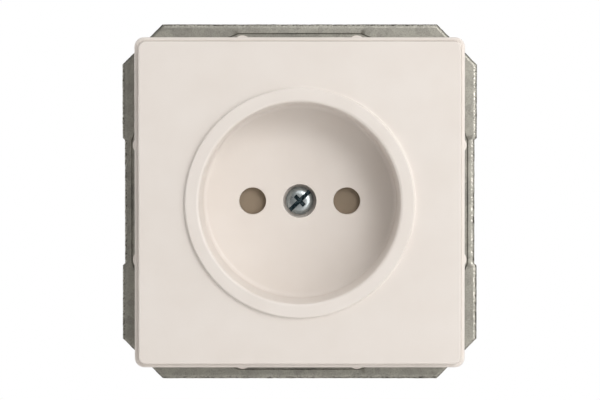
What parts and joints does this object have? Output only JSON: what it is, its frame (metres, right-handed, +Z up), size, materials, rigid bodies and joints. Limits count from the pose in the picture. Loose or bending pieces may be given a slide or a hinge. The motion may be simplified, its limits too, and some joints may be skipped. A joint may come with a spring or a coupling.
{
  "type": "wall socket outlet",
  "caption": "Flush-mounted wall socket outlet: square white cover plate with a collared round recess, pin holes and centre screw, on a galvanised support strap.",
  "frame": {"origin": "centre of the support strap's back face, on the wall plane and on the axis of the plug recess", "axes": "+Y points into the wall, -Y into the room; +Z is up and +X is to the right as seen from the room"},
  "size_m": [0.0708, 0.0407, 0.0708],
  "materials": {
    "white_plastic": "warm white moulded plastic, satin gloss",
    "shutter_plastic": "beige moulded plastic, matt",
    "inner_plastic": "natural moulded plastic",
    "base_plastic": "light grey moulded thermoset, matt",
    "galvanised_steel": "galvanised sheet steel with a fine grey spangle",
    "zinc_plated_screw": "bluish zinc plating",
    "claw_steel": "zinc-plated sheet steel",
    "spring_steel": "bright spring steel",
    "brass": "bare brass, slightly dulled"
  },
  "bodies": {
    "socket": {"cover_plate": "white_plastic", "shutter_retainer": "inner_plastic", "shutter_spring": "spring_steel", "support_strap": "galvanised_steel", "strap_rivet_top": "galvanised_steel", "strap_rivet_bottom": "galvanised_steel", "socket_base": "base_plastic", "back_cover": "base_plastic", "back_cover_screw_top": "zinc_plated_screw", "back_cover_screw_bottom": "zinc_plated_screw", "threaded_insert": "brass", "contact_left": "brass", "contact_right": "brass", "contact_clip_left": "spring_steel", "contact_clip_right": "spring_steel"},
    "shutter": {"shutter": "shutter_plastic"},
    "centre_screw": {"centre_screw": "zinc_plated_screw"},
    "claw_screw_left": {"claw_screw_left": "zinc_plated_screw"},
    "claw_nut_left": {"claw_nut_left": "claw_steel"},
    "claw_left": {"claw_left": "claw_steel"},
    "terminal_screw_left": {"terminal_screw_left": "brass"},
    "terminal_clamp_left": {"terminal_clamp_left": "claw_steel"},
    "claw_screw_right": {"claw_screw_right": "zinc_plated_screw"},
    "claw_nut_right": {"claw_nut_right": "claw_steel"},
    "claw_right": {"claw_right": "claw_steel"},
    "terminal_screw_right": {"terminal_screw_right": "brass"},
    "terminal_clamp_right": {"terminal_clamp_right": "claw_steel"}
  },
  "joints": [
    {"name": "shutter_turn", "type": "hinge", "parent": "socket", "child": "shutter", "pos_m": [0, 0.0068, 0], "axis": [0, 1, 0], "range_deg": [0, 38], "stiffness_Nm_per_rad": 0.004, "springref_deg": -20.05, "deforming": ["shutter_spring"]},
    {"name": "centre_screw_turn", "type": "hinge", "parent": "socket", "child": "centre_screw", "pos_m": [0, 0.0077, 0], "axis": [0, 1, 0], "continuous": true},
    {"name": "claw_nut_left_travel", "type": "slide", "parent": "socket", "child": "claw_nut_left", "axis": [0, -1, 0], "range_m": [0, 0.003]},
    {"name": "claw_screw_left_turn", "type": "hinge", "parent": "socket", "child": "claw_screw_left", "pos_m": [-0.0252, -0.0013, 0], "axis": [0, 1, 0], "range_deg": [0, 2161]},
    {"name": "claw_left_swing", "type": "hinge", "parent": "socket", "child": "claw_left", "pos_m": [-0.0196, 0.0219, 0], "axis": [0, 0, -1], "range_deg": [0, 7.51]},
    {"name": "terminal_clamp_left_travel", "type": "slide", "parent": "socket", "child": "terminal_clamp_left", "axis": [0, 1, 0], "range_m": [0, 0.0021]},
    {"name": "terminal_screw_left_turn", "type": "hinge", "parent": "socket", "child": "terminal_screw_left", "pos_m": [-0.0115, 0.0247, 0.012], "axis": [0, -1, 0], "range_deg": [0, 1261]},
    {"name": "claw_nut_right_travel", "type": "slide", "parent": "socket", "child": "claw_nut_right", "axis": [0, -1, 0], "range_m": [0, 0.003]},
    {"name": "claw_screw_right_turn", "type": "hinge", "parent": "socket", "child": "claw_screw_right", "pos_m": [0.0252, -0.0013, 0], "axis": [0, 1, 0], "range_deg": [0, 2161]},
    {"name": "claw_right_swing", "type": "hinge", "parent": "socket", "child": "claw_right", "pos_m": [0.0196, 0.0219, 0], "axis": [0, 0, 1], "range_deg": [0, 7.51]},
    {"name": "terminal_clamp_right_travel", "type": "slide", "parent": "socket", "child": "terminal_clamp_right", "axis": [0, 1, 0], "range_m": [0, 0.0021]},
    {"name": "terminal_screw_right_turn", "type": "hinge", "parent": "socket", "child": "terminal_screw_right", "pos_m": [0.0115, 0.0247, 0.012], "axis": [0, -1, 0], "range_deg": [0, 1261]}
  ],
  "couplings": [
    {"joint": "claw_screw_left_turn", "follows": "claw_nut_left_travel", "rad_per_m": 12566},
    {"joint": "claw_left_swing", "follows": "claw_nut_left_travel", "rad_per_m": 43.633},
    {"joint": "terminal_screw_left_turn", "follows": "terminal_clamp_left_travel", "rad_per_m": 10472},
    {"joint": "claw_screw_right_turn", "follows": "claw_nut_right_travel", "rad_per_m": 12566},
    {"joint": "claw_right_swing", "follows": "claw_nut_right_travel", "rad_per_m": 43.633},
    {"joint": "terminal_screw_right_turn", "follows": "terminal_clamp_right_travel", "rad_per_m": 10472}
  ]
}
